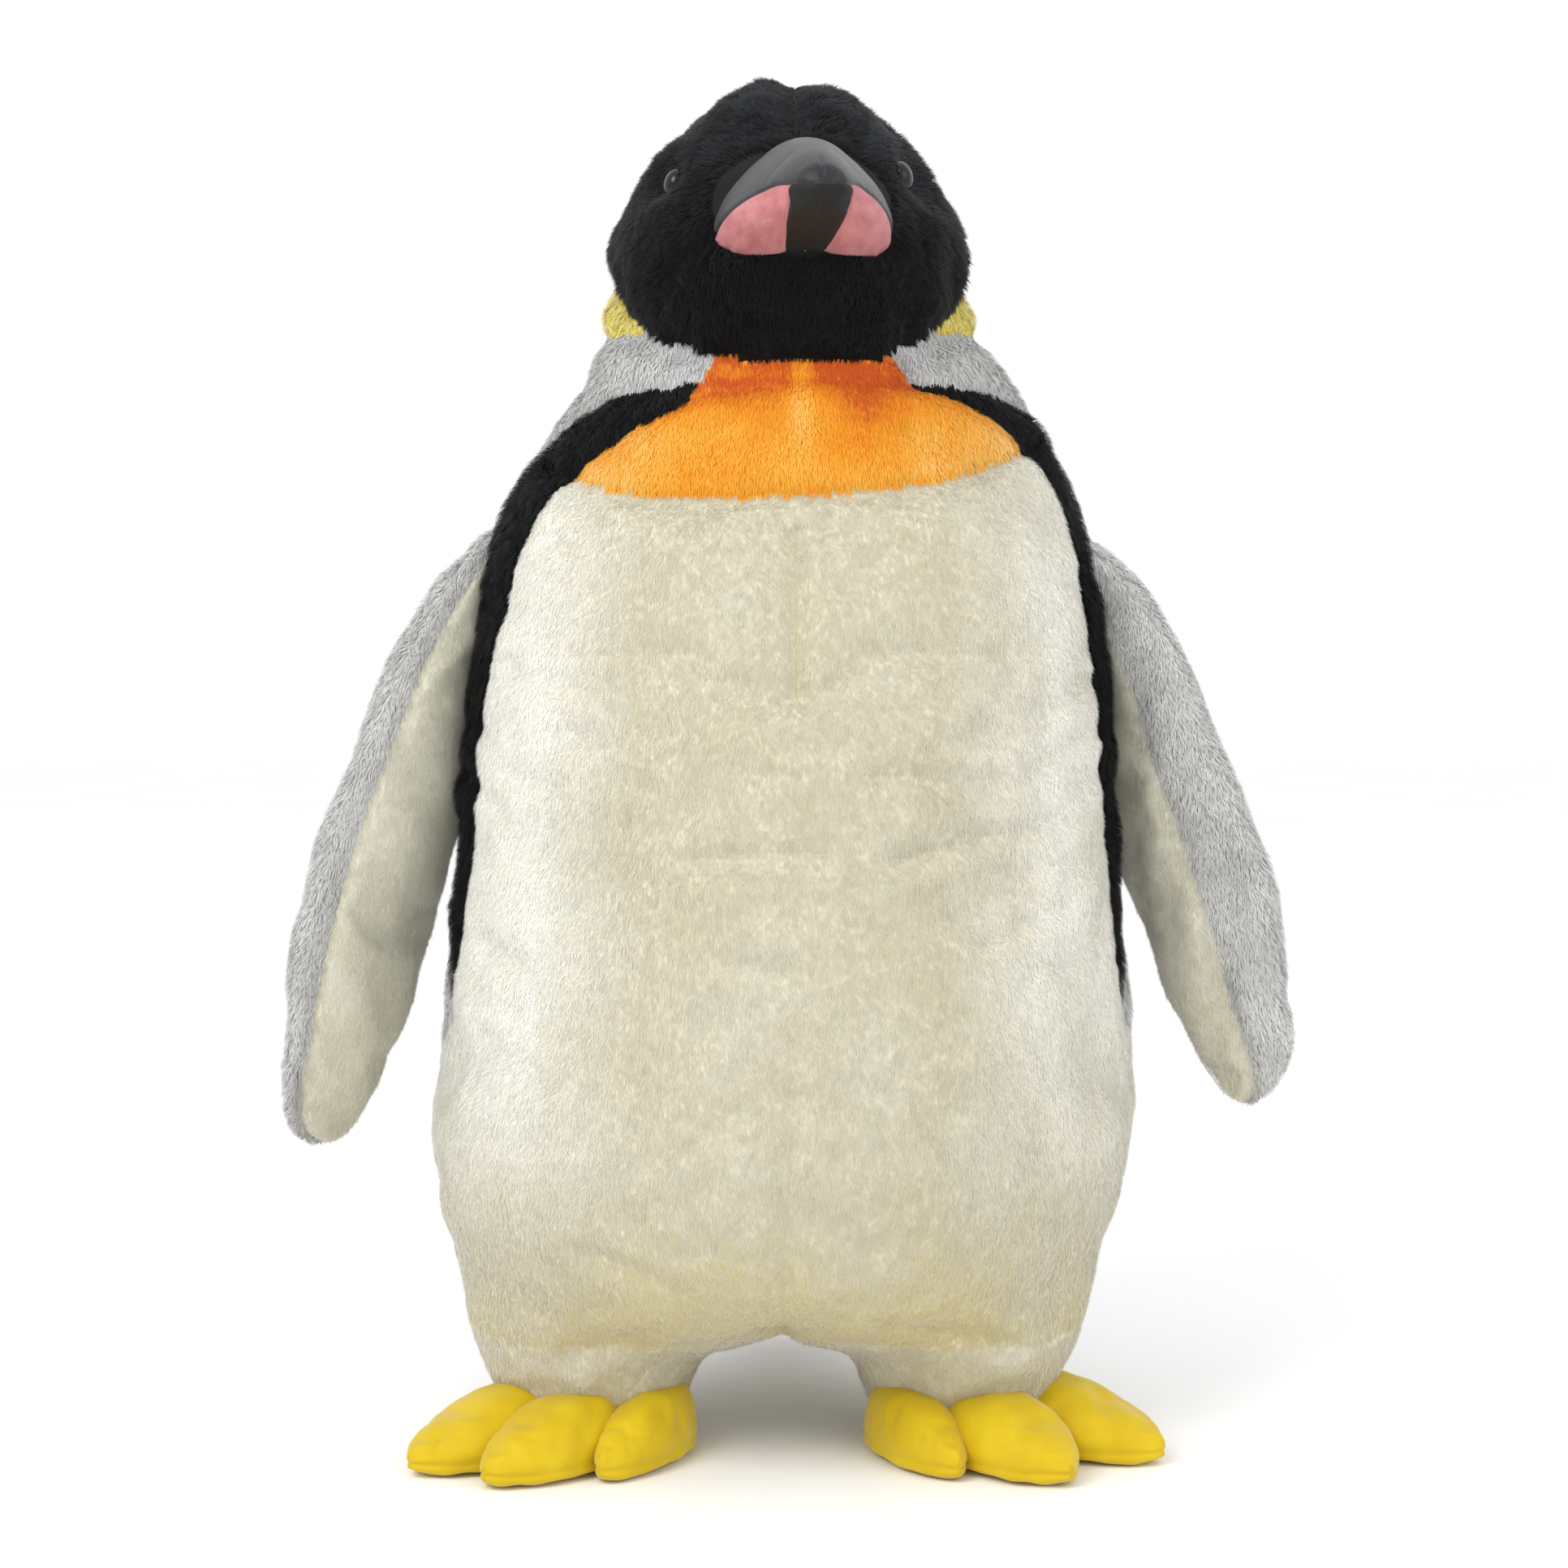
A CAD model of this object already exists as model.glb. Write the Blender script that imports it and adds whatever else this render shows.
"""Looks of the standing plush penguin: sewn skins with modelled tufts of pile, satin beak, stuffed toes.

Units are metres. The penguin faces -Y and stands on Z = 0; left is -X, as its viewer sees it.
Outlines are written in millimetres and turned into metres by the functions that read them.
"""

from math import cos, pi, radians, sin

import bpy
import numpy as np
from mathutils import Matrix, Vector


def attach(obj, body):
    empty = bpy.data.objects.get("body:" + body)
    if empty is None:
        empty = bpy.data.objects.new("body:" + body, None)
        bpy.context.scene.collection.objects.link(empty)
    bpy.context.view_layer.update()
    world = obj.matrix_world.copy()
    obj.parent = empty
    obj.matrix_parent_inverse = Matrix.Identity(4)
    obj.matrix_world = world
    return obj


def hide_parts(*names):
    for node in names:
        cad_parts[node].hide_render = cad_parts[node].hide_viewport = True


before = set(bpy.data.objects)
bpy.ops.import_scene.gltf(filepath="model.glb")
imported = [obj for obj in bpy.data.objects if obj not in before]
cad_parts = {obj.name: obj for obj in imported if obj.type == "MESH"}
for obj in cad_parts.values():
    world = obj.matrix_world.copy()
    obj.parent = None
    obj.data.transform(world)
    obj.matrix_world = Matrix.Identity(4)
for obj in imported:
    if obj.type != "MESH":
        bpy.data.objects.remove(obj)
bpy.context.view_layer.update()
scene = bpy.context.scene

MM = 0.001
ACROSS, DEPTH, UP = np.eye(3)
TUFT_SHARE = 1.0

# ---- outlines, in millimetres ----
# Body and head: height, half width, half depth, centre in depth.
BODY_ROWS = [
    (40, 96, 74, 26), (54, 136, 107, 17), (78, 166, 134, 8), (112, 183, 147, 3),
    (155, 189, 151, 0), (225, 184, 148, 0), (320, 177, 139, 0), (400, 171, 129, 0),
    (455, 163, 118, 0), (490, 150, 107, 0), (520, 133, 98, 0), (545, 115, 93, -1),
    (570, 102, 93, -4), (600, 98, 99, -8), (628, 90, 97, -9), (651, 75, 85, -9),
    (672, 56, 67, -8), (686, 40, 48, -7), (695, 26, 30, -6), (700, 11, 12, -6),
]
# Legs: height, half width, half depth.
LEG_ROWS = [(0, 44, 50), (4, 48, 55), (12, 52, 58), (30, 56, 62), (46, 64, 66), (62, 71, 70), (84, 74, 70)]
LEG_CENTRE = (95, -22)
# The legs stand this much further left than the middle of the body.
LEG_SHIFT = 6
LEG_BASE_TOP, SEAT_TOP = 2.2, 64
# Seam lines seen from the side: depth, height.
HOOD_EDGE = [
    (-140, 547), (-88, 548), (-77, 552), (-63, 561), (-46, 572), (-20, 591), (0, 601), (34, 590), (62, 566),
    (140, 556),
]
EAR_EDGE = [(-62, 569), (-40, 568), (0, 570), (40, 566), (66, 560)]
STRIPE_FRONT = [
    (-88, 540), (-67, 523), (-47, 484), (-50, 433), (-47, 390), (-45, 344), (-42, 277), (-32, 222),
]
STRIPE_REAR = [
    (-88, 540), (-62, 537), (-30, 528), (-8, 508), (-3, 470), (-6, 408), (-9, 323), (-12, 277), (-32, 222),
]
# Seam lines seen from the front: half width, height.
BIB_EDGE = [(0, 483), (44, 485), (84, 490), (126, 507)]
CHIN_SEAM = [(34, 616), (48, 600), (56, 584), (56, 562), (54, 540)]
BIB_SLOPE = 0.045
# The body is turned a little on its legs: the side seams shift by this much in depth, from left to right.
TURN = 12
LEG_TOP = 62
# The bib's narrow top under the chin: its sides at one height, how much they lean in, and where they begin.
THROAT_SIDES, THROAT_HEIGHT, THROAT_LEAN, THROAT_BOTTOM = (-48, 63), 532, 0.6, 530
# Seams that run up the front or the back: where they end.
CHIN_SPAN, DART_SPAN = (546, 612), (385, 468)
CROWN_BOTTOM, NAPE_BOTTOM, BELLY_SEAM_TOP = 660, 100, 200
BIB_HALF_WIDTH = 126
# Steps round the body and the legs, rings up a leg, and the size of an even face.
BODY_AROUND, LEG_AROUND, LEG_RINGS = 120, 60, 24
BODY_CELL = 6.5
# Creases in the belly seen from the front: start and end across and up, depth.
CREASES = [
    (-46, 309, 14, 313, 2.8), (54, 310, 130, 325, 3.2), (44, 350, 100, 344, 2.2),
    (-168, 346, -146, 330, 2.4), (-152, 262, -128, 250, 2.2), (96, 268, 138, 284, 2.2),
    (-30, 262, -4, 256, 1.8), (-150, 215, -118, 196, 2.0), (-100, 60, -60, 74, 2.0),
    (60, 76, 118, 62, 2.0), (70, 360, 96, 372, 2.0), (-96, 118, -50, 104, 1.8),
    (128, 380, 150, 392, 2.2), (118, 352, 152, 366, 2.2), (-140, 400, -96, 388, 1.8),
]
# How wide the valley of a crease is, and how far beside it the ridge lies.
CREASE_WIDTH, CREASE_RIDGE = 5.5, 12


# ---- numbers to shapes ----
def smooth(rows, count):
    """Rows of numbers as a smooth run of that many rows, through the same points."""
    rows = np.array(rows, float)
    steps = np.linalg.norm(np.diff(rows, axis=0), axis=1)
    at = np.concatenate([[0], np.cumsum(steps)])
    slopes = np.gradient(rows, at, axis=0)
    t = np.linspace(0, at[-1], count)
    i = np.clip(np.searchsorted(at, t) - 1, 0, len(at) - 2)
    width = (at[i + 1] - at[i])[:, None]
    u = ((t - at[i])[:, None]) / width
    start = (1 + 2 * u) * (1 - u) ** 2 * rows[i] + u * (1 - u) ** 2 * width * slopes[i]
    end = u * u * (3 - 2 * u) * rows[i + 1] + u * u * (u - 1) * width * slopes[i + 1]
    return start + end


def line(rows, count=60):
    """A seam line in metres."""
    return smooth(rows, count) * MM


def rings(centres, across, up, half_across, half_up, around):
    """A tube as a grid of points: one ring per centre, all of them lying along the same two directions."""
    angle = np.arange(around) * 2 * pi / around
    a = np.cos(angle)[None, :, None] * half_across[:, None, None] * across
    b = np.sin(angle)[None, :, None] * half_up[:, None, None] * up
    return centres[:, None, :] + a + b


def closed_faces(rows, around):
    """Faces of a tube of rings, with both ends closed."""
    faces = []
    for r in range(rows - 1):
        for c in range(around):
            d = (c + 1) % around
            faces.append((r * around + c, r * around + d, (r + 1) * around + d, (r + 1) * around + c))
    faces.append(tuple(reversed(range(around))))
    faces.append(tuple((rows - 1) * around + c for c in range(around)))
    return faces


def new_object(name, points, faces):
    mesh = bpy.data.meshes.new(name)
    mesh.from_pydata([tuple(p) for p in points], [], [tuple(f) for f in faces])
    mesh.update()
    obj = bpy.data.objects.new(name, mesh)
    scene.collection.objects.link(obj)
    return obj


def settle(obj):
    """Replace a piece's mesh by what its modifiers make of it."""
    graph = bpy.context.evaluated_depsgraph_get()
    mesh = bpy.data.meshes.new_from_object(obj.evaluated_get(graph))
    obj.modifiers.clear()
    obj.data = mesh


def read(obj, key="co"):
    """Points, or normals, of a mesh as an array."""
    mesh = obj.data
    values = np.zeros(len(mesh.vertices) * 3, np.float32)
    if key == "co":
        mesh.vertices.foreach_get("co", values)
    else:
        mesh.vertex_normals.foreach_get("vector", values)
    return values.reshape(-1, 3).astype(float)


def write(obj, points):
    obj.data.vertices.foreach_set("co", points.astype(np.float32).ravel())
    obj.data.update()


def quads(obj):
    """Faces of a mesh as rows of four points; a triangle repeats its last point."""
    rows = [tuple(p.vertices) for p in obj.data.polygons]
    return np.array([(r + (r[-1],))[:4] for r in rows])


def waves(points, size, seed, count=9):
    """A smooth random field with bumps of about that size, mostly between -1 and 1."""
    own = np.random.default_rng(seed)
    ways = own.normal(size=(count, 3))
    ways /= np.linalg.norm(ways, axis=1)[:, None]
    ways *= (own.uniform(0.6, 1.5, count) * 2 * pi / size)[:, None]
    phase = own.uniform(0, 2 * pi, count)
    return np.sin(points @ ways.T + phase).sum(axis=1) / np.sqrt(count)


def distance_to(flat, path):
    """Distance of points in a plane from a path of straight pieces."""
    best = np.full(len(flat), 1e9)
    for a, b in zip(path[:-1], path[1:]):
        run = b - a
        t = np.clip(((flat - a) @ run) / max(run @ run, 1e-12), 0, 1)
        gap = np.linalg.norm(flat - a - t[:, None] * run, axis=1)
        best = np.minimum(best, gap)
    return best


def inside(flat, outline):
    """Which points of a plane lie inside an outline."""
    x, y = flat[:, 0], flat[:, 1]
    result = np.zeros(len(flat), bool)
    for (x0, y0), (x1, y1) in zip(outline, np.roll(outline, -1, axis=0)):
        crosses = (y0 > y) != (y1 > y)
        level = (x1 - x0) * (y - y0) / (y1 - y0 if y1 != y0 else 1e-12) + x0
        result ^= crosses & (x < level)
    return result


def unit(v):
    return v / np.maximum(np.linalg.norm(v, axis=-1, keepdims=True), 1e-9)


def srgb(code):
    """A colour written as a web code, as the three numbers that Blender uses."""
    parts = [int(code[i : i + 2], 16) / 255 for i in (1, 3, 5)]
    return [p / 12.92 if p <= 0.04045 else ((p + 0.055) / 1.055) ** 2.4 for p in parts]


# ---- materials ----
def blank(name, roughness, sheen=0.0):
    mat = bpy.data.materials.new(name)
    mat.use_nodes = True
    tree = mat.node_tree
    shader = tree.nodes["Principled BSDF"]
    shader.inputs["Roughness"].default_value = roughness
    shader.inputs["Sheen Weight"].default_value = sheen
    shader.inputs["Sheen Roughness"].default_value = 0.4
    shader.inputs["Specular IOR Level"].default_value = 0.3
    return mat, tree, shader


def noise(tree, scale, detail=3.0, stretch=(1, 1, 1)):
    """Noise in the object's own metres."""
    place = tree.nodes.new("ShaderNodeTexCoord")
    mapping = tree.nodes.new("ShaderNodeMapping")
    mapping.inputs["Scale"].default_value = stretch
    texture = tree.nodes.new("ShaderNodeTexNoise")
    texture.inputs["Scale"].default_value = scale
    texture.inputs["Detail"].default_value = detail
    tree.links.new(place.outputs["Object"], mapping.inputs["Vector"])
    tree.links.new(mapping.outputs["Vector"], texture.inputs["Vector"])
    return texture.outputs["Fac"]


def ramp(tree, value, stops):
    node = tree.nodes.new("ShaderNodeValToRGB")
    tree.links.new(value, node.inputs["Fac"])
    first, last = node.color_ramp.elements[0], node.color_ramp.elements[1]
    first.position, first.color = stops[0][0], (*stops[0][1], 1)
    last.position, last.color = stops[-1][0], (*stops[-1][1], 1)
    for place, colour in stops[1:-1]:
        node.color_ramp.elements.new(place).color = (*colour, 1)
    return node.outputs["Color"]


def bump(tree, shader, height, strength, distance):
    node = tree.nodes.new("ShaderNodeBump")
    node.inputs["Strength"].default_value = strength
    node.inputs["Distance"].default_value = distance
    tree.links.new(height, node.inputs["Height"])
    tree.links.new(node.outputs["Normal"], shader.inputs["Normal"])


def mixed(tree, a, b, share):
    """The mean of two values, the second counting by share."""
    node = tree.nodes.new("ShaderNodeMix")
    node.inputs["Factor"].default_value = share
    tree.links.new(a, node.inputs["A"])
    tree.links.new(b, node.inputs["B"])
    return node.outputs["Result"]


def backing(name, dark, light, sheen=0.4, grain=900.0):
    """The cloth that a pile grows from: mottled, with a fine fibrous bump."""
    mat, tree, shader = blank(name, 0.85, sheen)
    colour = ramp(tree, noise(tree, 55, 4), [(0.35, dark), (0.65, light)])
    tree.links.new(colour, shader.inputs["Base Color"])
    bump(tree, shader, noise(tree, grain, 2, (1, 1, 0.35)), 0.5, 0.0008)
    return mat


def tuft_tints(name, colours, roughness=0.7, sheen=0.3, tint=None, gloss=0.3):
    """One plain material per tint of a pile; the tufts themselves make its grain."""
    mats = []
    for i, colour in enumerate(colours):
        mat, _, shader = blank(f"{name}_{i}", roughness, sheen)
        shader.inputs["Base Color"].default_value = (*colour, 1)
        shader.inputs["Sheen Tint"].default_value = (*(tint or colour), 1)
        shader.inputs["Specular IOR Level"].default_value = gloss
        mats.append(mat)
    return mats


def pile_kind(name, dark, light, colours, cloth_sheen=0.4, **tufts):
    """A kind of pile: its backing cloth, and its tufts in several tints."""
    cloth = backing(f"{name}_cloth", srgb(dark), srgb(light), cloth_sheen)
    return cloth, tuft_tints(f"{name}_tuft", colours, **tufts)


def satin(name, dark, light, roughness, streaks=(1, 1, 1), wrinkle=0.35, sheen=0.12):
    """Smooth woven cloth, faintly streaked, with a fine weave and soft wrinkles."""
    mat, tree, shader = blank(name, roughness, sheen)
    colour = ramp(tree, noise(tree, 60, 4, streaks), [(0.3, dark), (0.7, light)])
    tree.links.new(colour, shader.inputs["Base Color"])
    weave = noise(tree, 1500, 1)
    folds = noise(tree, 70, 2, streaks)
    bump(tree, shader, mixed(tree, weave, folds, 0.6), wrinkle, 0.0016)
    return mat


def tricot(name):
    """Brushed yellow knit: fine ribs, faint mottling and soft dents."""
    mat, tree, shader = blank(name, 0.62, sheen=0.25)
    colour = ramp(
        tree, noise(tree, 45, 3), [(0.3, srgb("#c5a500")), (0.55, srgb("#ccae02")), (0.75, srgb("#d3b70a"))]
    )
    tree.links.new(colour, shader.inputs["Base Color"])
    ribs = noise(tree, 1600, 1)
    dents = noise(tree, 120, 2)
    bump(tree, shader, mixed(tree, ribs, dents, 0.35), 0.12, 0.001)
    return mat


def moulded(name, colour, roughness):
    mat, tree, shader = blank(name, roughness)
    shade = ramp(tree, noise(tree, 300, 2), [(0.4, [c * 0.8 for c in colour]), (0.6, colour)])
    tree.links.new(shade, shader.inputs["Base Color"])
    shader.inputs["Specular IOR Level"].default_value = 0.35
    return mat


def fibre(name):
    """Loose white polyester filling."""
    mat, tree, shader = blank(name, 0.9)
    colour = ramp(tree, noise(tree, 200, 5), [(0.3, (0.7, 0.7, 0.68)), (0.7, (0.9, 0.9, 0.88))])
    tree.links.new(colour, shader.inputs["Base Color"])
    bump(tree, shader, noise(tree, 500, 5), 0.8, 0.002)
    return mat


BLACKS = [srgb(c) for c in ("#030304", "#08080a", "#0f1012", "#191b1e", "#272a2f")]
GREYS = [srgb(c) for c in ("#acaba8", "#bcbbb8", "#cac9c6", "#d6d6d3", "#e2e2df")]
CREAMS = [srgb(c) for c in ("#d2c084", "#d3c99e", "#cec8b0", "#d7d3c2", "#e6e4d9", "#f7f7f2")]
INNERS = [srgb(c) for c in ("#cfccb8", "#d8d5c3", "#dfdccb", "#e6e3d4", "#eceadd")]
ORANGES = [srgb(c) for c in ("#d65a1c", "#ec8e1a", "#f5a826", "#fabb44", "#fccb6a", "#fede98")]
YELLOWS = [srgb(c) for c in ("#dfcd5c", "#e6d66c", "#ecde80", "#f1e694", "#f6edaa")]
WHITE = (1, 1, 1)

KINDS = {
    "black": pile_kind("black", "#08090a", "#131416", BLACKS, 0.1, roughness=0.55, sheen=0.05,
                       tint=srgb("#a0a8b4"), gloss=0.15),
    "grey": pile_kind("grey", "#a4a4a5", "#bcbcbd", GREYS, tint=WHITE),
    "cream": pile_kind("cream", "#c8c1a6", "#d6d0ba", CREAMS, sheen=0.5, tint=WHITE),
    "inner": pile_kind("inner", "#cbc8b4", "#dbd8c6", INNERS, tint=WHITE),
    "orange": pile_kind("orange", "#e8891c", "#f5a630", ORANGES, sheen=0.2),
    "yellow": pile_kind("yellow", "#d6c556", "#e2d36c", YELLOWS),
}
SATIN_CHARCOAL = satin("charcoal_satin", srgb("#15171a"), srgb("#202327"), 0.38)
SATIN_OLIVE = satin("olive_satin", srgb("#070706"), srgb("#0d0c0a"), 0.6, sheen=0.02)
SATIN_PINK = satin("pink_satin", srgb("#a85c62"), srgb("#be7a7b"), 0.55, (3, 0.6, 3), 0.5)
TRICOT = tricot("yellow_tricot")
EYE_PLASTIC = moulded("eye_plastic", (0.004, 0.004, 0.005), 0.16)
WASHER_PLASTIC = moulded("washer_plastic", (0.7, 0.7, 0.68), 0.4)
FIBRE = fibre("polyester_fibre")


# ---- cloth ----
def inflate(obj, held, pressure, cap, growth=0.02, frames=14):
    """Blow a closed cloth piece up between its held seams, then keep the shape it takes."""
    before = read(obj)
    seams = obj.vertex_groups.new(name="seams")
    for index in np.flatnonzero(held > 0):
        seams.add([int(index)], float(held[index]), "REPLACE")
    cloth = obj.modifiers.new("cloth", "CLOTH")
    cloth.settings.quality = 4
    cloth.settings.mass = 0.2
    cloth.settings.use_pressure = True
    cloth.settings.uniform_pressure_force = pressure
    cloth.settings.vertex_group_mass = "seams"
    cloth.settings.shrink_min = -growth
    cloth.settings.effector_weights.gravity = 0
    cloth.settings.bending_stiffness = 0.3
    cloth.point_cache.frame_start = 1
    cloth.point_cache.frame_end = frames
    scene.frame_start, scene.frame_end = 1, frames
    for step in range(1, frames + 1):
        scene.frame_set(step)
    settle(obj)
    moved = read(obj) - before
    far = np.linalg.norm(moved, axis=1, keepdims=True)
    write(obj, before + moved * np.minimum(1, cap / np.maximum(far, 1e-9)))
    obj.vertex_groups.clear()
    scene.frame_set(1)


def subdivide(obj, levels=1):
    mod = obj.modifiers.new("finer", "SUBSURF")
    mod.levels = mod.render_levels = levels
    settle(obj)


def part_of(obj, name, chosen, body, node, material):
    """Cut the chosen faces out as a skin of their own, keeping the shading of the whole."""
    points, normals, faces = read(obj), read(obj, "normal"), quads(obj)[chosen]
    used, inverse = np.unique(faces, return_inverse=True)
    faces = inverse.reshape(-1, 4)
    rows = [tuple(dict.fromkeys(f)) for f in faces.tolist()]
    skin = new_object(name, points[used], rows)
    skin.data.normals_split_custom_set_from_vertices([tuple(n) for n in normals[used]])
    skin.data.materials.append(material)
    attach(skin, body)
    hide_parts(node)
    return {"points": points[used], "normals": normals[used], "faces": faces, "body": body}


# ---- pile ----
def scatter(cells, seed):
    """Three even random numbers for each whole-number cell, the same ones each time."""
    x, y, z = (cells[:, i].astype(np.int64) for i in range(3))
    out = []
    for k in range(3):
        h = (x * 73856093) ^ (y * 19349663) ^ (z * 83492791) ^ (seed * 2654435 + k * 97531)
        h = ((h ^ (h >> 13)) * 1274126177) & 0xFFFFFFFF
        h = (h ^ (h >> 16)) & 0xFFFFFF
        out.append(h / float(0xFFFFFF))
    return np.stack(out, axis=1)


def clumps(points, size, seed):
    """The nearest of the scattered clump centres, and three random numbers of that clump."""
    base = np.floor(points / size).astype(np.int64)
    best = np.full(len(points), 1e9)
    centre = np.zeros_like(points)
    chance = np.zeros_like(points)
    for dx in (-1, 0, 1):
        for dy in (-1, 0, 1):
            for dz in (-1, 0, 1):
                cell = base + np.array([dx, dy, dz])
                r = scatter(cell, seed)
                at = (cell + r) * size
                gap = ((at - points) ** 2).sum(axis=1)
                nearer = gap < best
                best[nearer], centre[nearer], chance[nearer] = gap[nearer], at[nearer], r[nearer]
    return centre, chance


def grow(name, skin, kind, comb, length, per_cm2, width=0.0004, lean=(45, 76), clump=0.008, pull=0.5,
         shade=0.0, spread=0.6, keep=None, jitter=0.2, tint=None, short=False, trim=None):
    """Tufts of pile over a skin, leaning along comb: slim blades of one step if short, else of two."""
    p, n, f = skin["points"], skin["normals"], skin["faces"]
    tri = np.concatenate([f[:, [0, 1, 2]], f[:, [0, 2, 3]]])
    a, b, c = p[tri[:, 0]], p[tri[:, 1]], p[tri[:, 2]]
    area = np.linalg.norm(np.cross(b - a, c - a), axis=1) / 2
    count = int(area.sum() * 1e4 * per_cm2 * TUFT_SHARE)
    own = np.random.default_rng(sum((i + 1) * ord(letter) for i, letter in enumerate(name)))
    pick = own.choice(len(tri), count, p=area / area.sum())
    u, v = own.random((2, count, 1))
    flip = u + v > 1
    u, v = np.where(flip, 1 - u, u), np.where(flip, 1 - v, v)
    w = 1 - u - v
    root = w * a[pick] + u * b[pick] + v * c[pick]
    up = unit(w * n[tri[pick, 0]] + u * n[tri[pick, 1]] + v * n[tri[pick, 2]])
    if keep is not None:
        chosen = keep(root)
        root, up = root[chosen], up[chosen]
    count = len(root)
    centre, chance = clumps(root, clump, 5)
    way = comb(root, up) + jitter * own.normal(size=(count, 3)) + (chance - 0.5) * pull
    way = unit(way - up * (way * up).sum(axis=1, keepdims=True))
    low, high = (radians(x) for x in lean)
    tilt = own.normal(size=(count, 1)) * 0.08 + (chance[:, :1] - 0.5) * 0.3 * pull
    first = up * np.cos(low + tilt) + way * np.sin(low + tilt)
    second = up * np.cos(high + tilt) + way * np.sin(high + tilt)
    size = length * own.uniform(0.7, 1.15, (count, 1)) * (0.85 + 0.3 * chance[:, 1:2])
    if trim is not None:
        size = size * trim(root)[:, None]
    middle = root + first * size * 0.5
    tip = middle + second * size * 0.5
    towards = centre + (first + second) * 0.5 * size - tip
    towards -= up * (towards * up).sum(axis=1, keepdims=True)
    middle += towards * pull * 0.15
    tip += towards * pull * 0.4
    side = unit(np.cross(tip - root, up)) * width * 0.5 * own.uniform(0.7, 1.3, (count, 1))
    if short:
        points = np.stack([root - side, root + side, tip], axis=1)
    else:
        points = np.stack([root - side, root + side, middle + side * 0.8, middle - side * 0.8, tip], axis=1)
    soft = unit(up + own.normal(size=(count, 3)) * 0.08 + (chance - 0.5) * 0.5 * pull + way * 0.12)
    tone = own.normal(size=count) * spread + (chance[:, 2] - 0.5) * 1.6 * pull + shade
    if tint is not None:
        tone = tone + tint(root)
    mats = KINDS[kind][1]
    tone = np.clip(np.round(tone + (len(mats) - 1) / 2), 0, len(mats) - 1).astype(np.int32)
    return blades(name, points, soft, tone, mats, skin["body"])


def blades(name, points, soft, tone, mats, body):
    """One mesh of many blades of three or five points, softly shaded."""
    count, corners_each = points.shape[:2]
    corners = np.array([[0, 1, 2]] if corners_each == 3 else [[0, 1, 2], [0, 2, 3], [3, 2, 4]])
    loops = (np.arange(count)[:, None, None] * corners_each + corners[None]).reshape(-1)
    mesh = bpy.data.meshes.new(name)
    mesh.vertices.add(count * corners_each)
    mesh.vertices.foreach_set("co", points.reshape(-1).astype(np.float32))
    mesh.loops.add(len(loops))
    mesh.loops.foreach_set("vertex_index", loops.astype(np.int32))
    mesh.polygons.add(count * len(corners))
    mesh.polygons.foreach_set("loop_start", np.arange(0, len(loops), 3, dtype=np.int32))
    mesh.polygons.foreach_set("material_index", np.repeat(tone, len(corners)).astype(np.int32))
    mesh.update(calc_edges=True)
    for mat in mats:
        mesh.materials.append(mat)
    mesh.normals_split_custom_set_from_vertices(np.repeat(soft, corners_each, axis=0))
    obj = bpy.data.objects.new(name, mesh)
    scene.collection.objects.link(obj)
    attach(obj, body)
    return obj


def down(points, up):
    return np.tile(np.array([0.0, 0.0, -1.0]), (len(points), 1))


# ---- body and head ----
HOOD_LINE, EAR_LINE, BIB_LINE, CHIN_LINE = line(HOOD_EDGE), line(EAR_EDGE), line(BIB_EDGE), line(CHIN_SEAM)
FRONT_LINE, REAR_LINE = line(STRIPE_FRONT), line(STRIPE_REAR)
STRIPE = np.concatenate([FRONT_LINE, REAR_LINE[::-1]])
SIDE_SEAM = np.array([(-32, 222), (-8, 206), (3, 180), (6, 120), (2, 64), (0, 0)]) * MM
BACK = np.concatenate([REAR_LINE, SIDE_SEAM, np.array([(0, -40), (400, -40), (400, 800), (-88, 800)]) * MM])


def bib_level(x):
    return np.interp(np.abs(x), BIB_LINE[:, 0], BIB_LINE[:, 1]) + x * BIB_SLOPE


def chin_half(z):
    return np.interp(z, CHIN_LINE[::-1, 1], CHIN_LINE[::-1, 0])


def body_shape():
    """Body, head and legs as one closed cloth shape, still without its seams."""
    rows = smooth(BODY_ROWS, BODY_AROUND) * MM
    centres = rows[:, 3:4] * DEPTH + rows[:, :1] * UP
    shrink = 0.004
    grid = rings(centres, ACROSS, DEPTH, rows[:, 1] - shrink, rows[:, 2] - shrink, BODY_AROUND)
    points, faces = grid.reshape(-1, 3), closed_faces(len(rows), BODY_AROUND)
    for side in (-1, 1):
        legs = smooth(LEG_ROWS, LEG_RINGS) * MM
        centres = legs[:, :1] * UP + np.array([side * LEG_CENTRE[0], LEG_CENTRE[1], 0]) * MM
        shrink = 0.003
        grid = rings(centres, ACROSS, DEPTH, legs[:, 1] - shrink, legs[:, 2] - shrink, LEG_AROUND)
        start = len(points)
        points = np.concatenate([points, grid.reshape(-1, 3)])
        faces += [tuple(i + start for i in f) for f in closed_faces(len(legs), LEG_AROUND)]
    obj = new_object("body_shape", points, faces)
    remesh = obj.modifiers.new("even", "REMESH")
    remesh.mode = "VOXEL"
    remesh.voxel_size = BODY_CELL * MM
    settle(obj)
    # Smooth the shape, most of all where the legs meet the body, but not the flat leg bases.
    low = obj.vertex_groups.new(name="low")
    for i, p in enumerate(read(obj)):
        low.add([i], float(np.clip((0.15 - p[2]) / 0.06, 0.15, 1) * (p[2] > 0.012)), "REPLACE")
    relax = obj.modifiers.new("relax", "SMOOTH")
    relax.factor, relax.iterations, relax.vertex_group = 0.6, 24, "low"
    settle(obj)
    obj.vertex_groups.clear()
    return obj


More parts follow.
